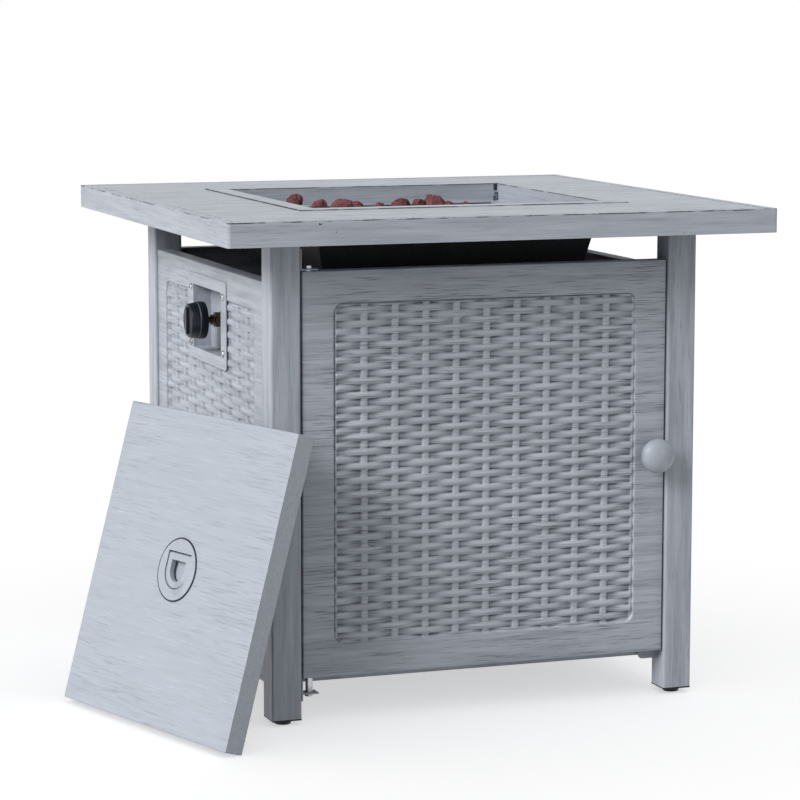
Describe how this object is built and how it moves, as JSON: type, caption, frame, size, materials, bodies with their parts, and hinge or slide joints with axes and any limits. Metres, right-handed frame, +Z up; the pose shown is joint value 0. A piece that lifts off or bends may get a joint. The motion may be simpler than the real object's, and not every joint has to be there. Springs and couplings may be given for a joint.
{
  "type": "fire pit table",
  "caption": "Square gas fire table with a woven-pattern steel cabinet, hinged door, gas knob, lava rock burner bowl and a loose lid leaning on one leg.",
  "frame": {"origin": "centre of the table on the floor, midway between the four feet", "axes": "+Z up; -Y is the side with the door; -X is the side with the gas knob; +X to the right seen from the door"},
  "size_m": [0.843, 0.7602, 0.6255],
  "materials": {
    "grey_paint": "pale grey paint with fine dark brushed streaks, satin",
    "black_paint": "matt black heat-proof paint",
    "black_plastic": "black, satin",
    "brass": "dull brass",
    "steel": "zinc-plated steel",
    "ceramic": "white glazed ceramic",
    "lava_rock": "rough porous red-brown rock"
  },
  "bodies": {
    "frame": {"tabletop": "grey_paint", "opening_frame": "grey_paint", "leg_front_left": "grey_paint", "leg_front_right": "grey_paint", "leg_rear_left": "grey_paint", "leg_rear_right": "grey_paint", "panel_left": "grey_paint", "panel_right": "grey_paint", "panel_rear": "grey_paint", "control_plate": "grey_paint", "door_stop": "grey_paint", "hinge_bracket_top": "grey_paint", "hinge_bracket_bottom": "grey_paint", "tank_tray": "grey_paint", "tank_ring": "grey_paint", "corner_brackets": "grey_paint", "foot_glides": "black_plastic", "magnet_catch": "black_plastic", "burner_pan": "black_paint", "igniter_bracket": "black_paint", "gas_valve": "brass", "valve_nut": "brass", "burner": "steel", "burner_nut": "steel", "air_mixer": "steel", "feed_tube": "steel", "stem_spring": "steel", "hinge_bolt_top": "steel", "hinge_bolt_bottom": "steel", "tabletop_studs": "steel", "pan_screws": "steel", "control_plate_screws": "steel", "panel_bolts": "steel", "hinge_screws": "steel", "catch_screws": "steel", "tray_bolts": "steel", "bracket_bolts": "steel", "stud_nuts": "steel", "igniter_electrode": "ceramic", "lava_rocks": "lava_rock"},
    "door": {"door_panel": "grey_paint", "door_knob": "grey_paint", "door_knob_screw": "steel", "strike_plate": "steel"},
    "lid": {"lid_panel": "grey_paint", "handle_cup": "grey_paint", "handle_pin": "steel"},
    "lid_handle": {"handle_ring": "grey_paint"},
    "valve_stem": {"valve_stem": "brass"},
    "control_knob": {"control_knob": "black_plastic"}
  },
  "joints": [
    {"name": "door_hinge", "type": "hinge", "parent": "frame", "child": "door", "pos_m": [-0.2305, -0.271, 0.307], "axis": [0, 0, -1], "range_deg": [0, 95]},
    {"name": "lid_lift", "type": "slide", "parent": "frame", "child": "lid", "axis": [-0.6729, -0.2173, 0.7071], "range_m": [0, 0.4]},
    {"name": "lid_ring_hinge", "type": "hinge", "parent": "lid", "child": "lid_handle", "pos_m": [-0.37404, -0.21473, 0.20649], "axis": [-0.3074, 0.9516, 0], "range_deg": [0, 90]},
    {"name": "valve_push", "type": "slide", "parent": "frame", "child": "valve_stem", "axis": [1, 0, 0], "range_m": [0, 0.003], "stiffness_N_per_m": 1500, "springref_m": -0.002, "deforming": ["stem_spring"]},
    {"name": "knob_turn", "type": "hinge", "parent": "valve_stem", "child": "control_knob", "pos_m": [-0.282, 0, 0.471], "axis": [1, 0, 0], "range_deg": [-90, 0]}
  ]
}
